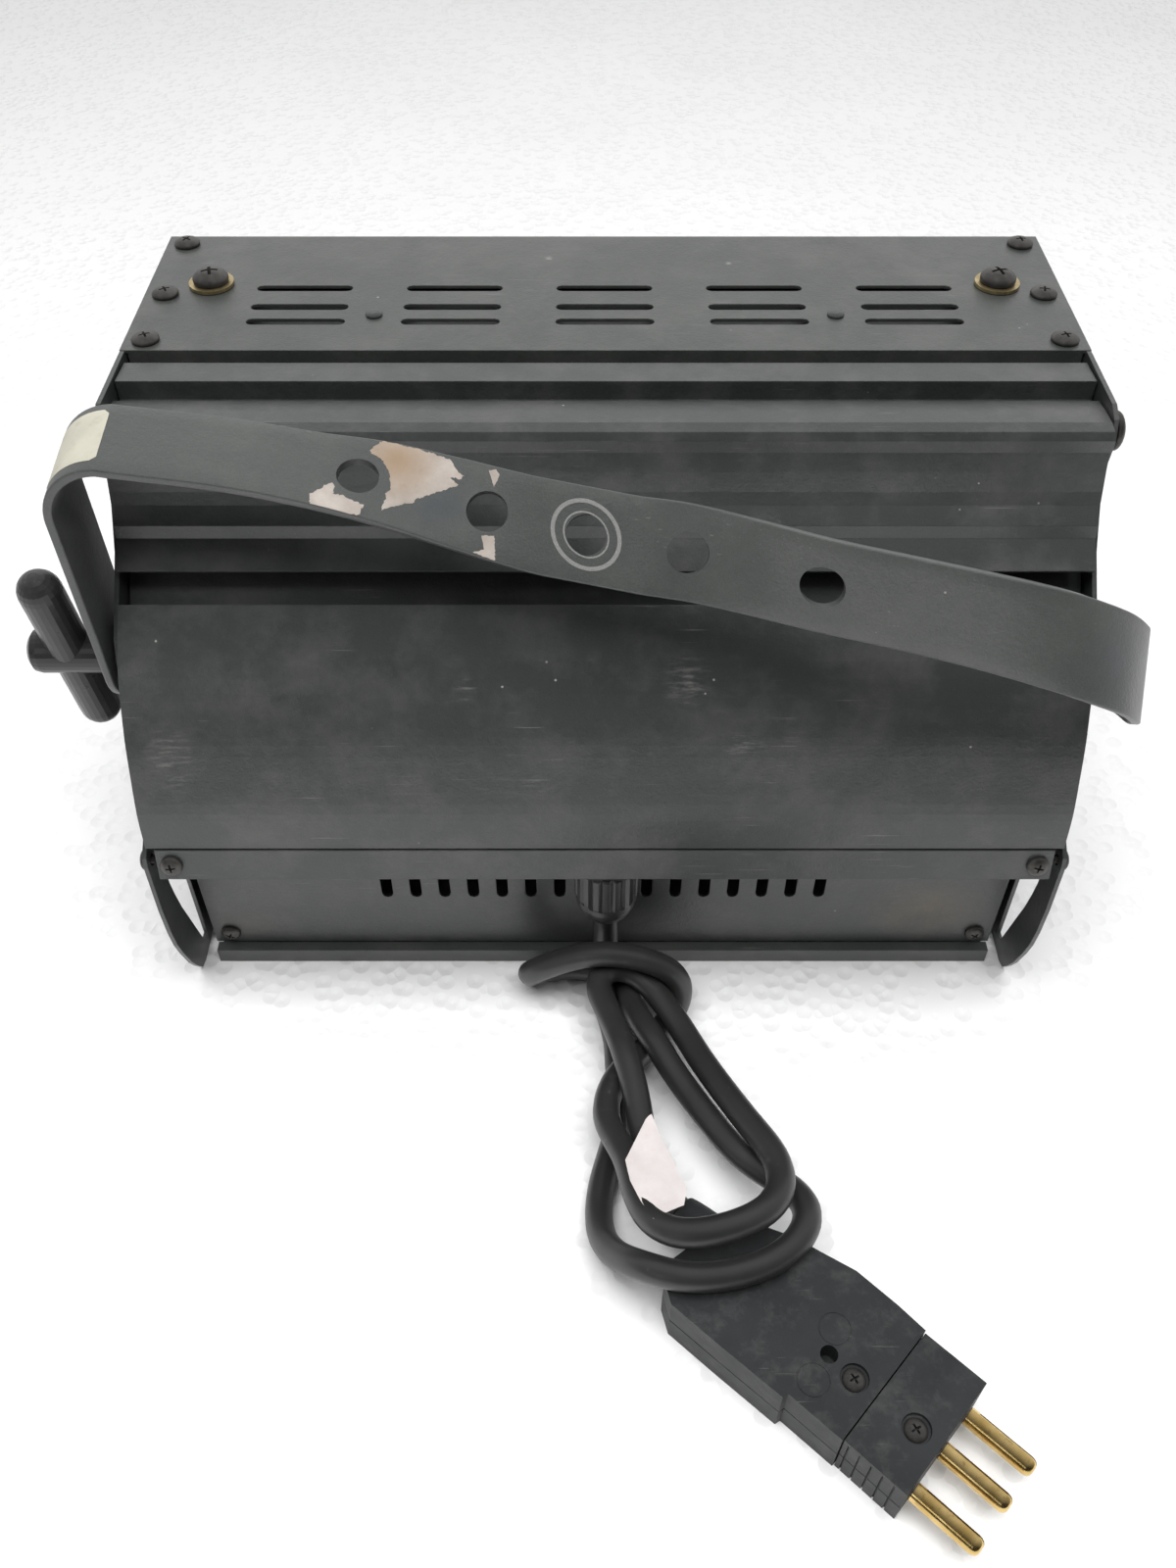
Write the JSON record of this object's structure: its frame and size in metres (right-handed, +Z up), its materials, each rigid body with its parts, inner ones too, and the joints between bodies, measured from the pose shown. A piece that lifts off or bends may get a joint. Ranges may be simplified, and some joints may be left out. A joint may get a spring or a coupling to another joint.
{
  "type": "cyclorama light",
  "caption": "Wide asymmetric flood for lighting a backdrop: extruded housing with vented cover, reflector and wire guard, tilting flat-bar yoke, and a supply lead with a three-pin plug",
  "frame": {"origin": "middle of the light's footprint, on the surface it stands on, the supply lead and its plug left out", "axes": "+X to the right seen from behind, along the longest side; +Y from the back towards the lit front; +Z up"},
  "size_m": [0.379, 0.4194, 0.2371],
  "materials": {
    "charcoal_coat": "fine-textured satin charcoal powder coat",
    "black_oxide_steel": "black oxide",
    "yellow_zinc": "yellow zinc plate",
    "bright_aluminium": "bright anodised",
    "plain_steel": "plain",
    "ceramic": "glazed ceramic",
    "quartz": "clear quartz tube",
    "black_nylon": "moulded nylon",
    "handle_plastic": "moulded, satin gloss",
    "lead_rubber": "rubber sheath",
    "plug_plastic": "moulded thermoset",
    "pin_brass": "turned"
  },
  "bodies": {
    "housing": {"end_plate_left": "charcoal_coat", "end_plate_right": "charcoal_coat", "rear_extrusion_upper": "charcoal_coat", "rear_extrusion_lower": "charcoal_coat", "spine_channel": "charcoal_coat", "vent_cover": "charcoal_coat", "vent_baffle": "charcoal_coat", "wiring_cover": "charcoal_coat", "lower_vent_panel": "charcoal_coat", "base_pan": "charcoal_coat", "front_frame": "charcoal_coat", "colour_runner_left": "charcoal_coat", "colour_runner_right": "charcoal_coat", "colour_runner_bottom": "charcoal_coat", "rivet_left": "charcoal_coat", "rivet_right": "charcoal_coat", "cover_screw_left_1": "black_oxide_steel", "cover_screw_left_2": "black_oxide_steel", "cover_screw_left_3": "black_oxide_steel", "cover_screw_right_1": "black_oxide_steel", "cover_screw_right_2": "black_oxide_steel", "cover_screw_right_3": "black_oxide_steel", "lid_screw_left": "black_oxide_steel", "lid_screw_right": "black_oxide_steel", "wiring_cover_screw_left": "black_oxide_steel", "wiring_cover_screw_right": "black_oxide_steel", "panel_screw_left": "black_oxide_steel", "panel_screw_right": "black_oxide_steel", "corner_screw_left": "black_oxide_steel", "corner_screw_right": "black_oxide_steel", "side_screw_left": "black_oxide_steel", "side_screw_right": "black_oxide_steel", "pivot_bolt_right": "black_oxide_steel", "washer_left": "yellow_zinc", "washer_right": "yellow_zinc", "main_reflector": "bright_aluminium", "kick_reflector": "bright_aluminium", "reflector_end_left": "bright_aluminium", "reflector_end_right": "bright_aluminium", "guard_hinge_pin": "plain_steel", "lampholder_left": "ceramic", "lampholder_right": "ceramic", "terminal_block": "ceramic", "halogen_lamp": "quartz", "gland_body": "black_nylon", "gland_locknut": "black_nylon", "gland_nut": "black_nylon", "pivot_spacer_left": "black_nylon", "pivot_spacer_right": "black_nylon", "supply_lead": "lead_rubber", "plug_body": "plug_plastic", "plug_face": "plug_plastic", "plug_pin_earth": "pin_brass", "plug_pin_middle": "pin_brass", "plug_pin_line": "pin_brass"},
    "yoke": {"yoke": "charcoal_coat"},
    "clamp_handle": {"clamp_handle": "handle_plastic"},
    "guard": {"guard_frame": "charcoal_coat", "guard_mesh": "charcoal_coat"}
  },
  "joints": [
    {"name": "yoke_tilt", "type": "hinge", "parent": "housing", "child": "yoke", "pos_m": [0.01195, -0.04855, 0.148], "axis": [1, 0, 0], "range_deg": [-6, 60]},
    {"name": "clamp_turn", "type": "hinge", "parent": "housing", "child": "clamp_handle", "pos_m": [-0.17555, -0.04855, 0.148], "axis": [1, 0, 0], "range_deg": [0, 180]},
    {"name": "guard_swing", "type": "hinge", "parent": "housing", "child": "guard", "pos_m": [0.01195, 0.10805, 0.2036], "axis": [1, 0, 0], "range_deg": [0, 110]}
  ]
}
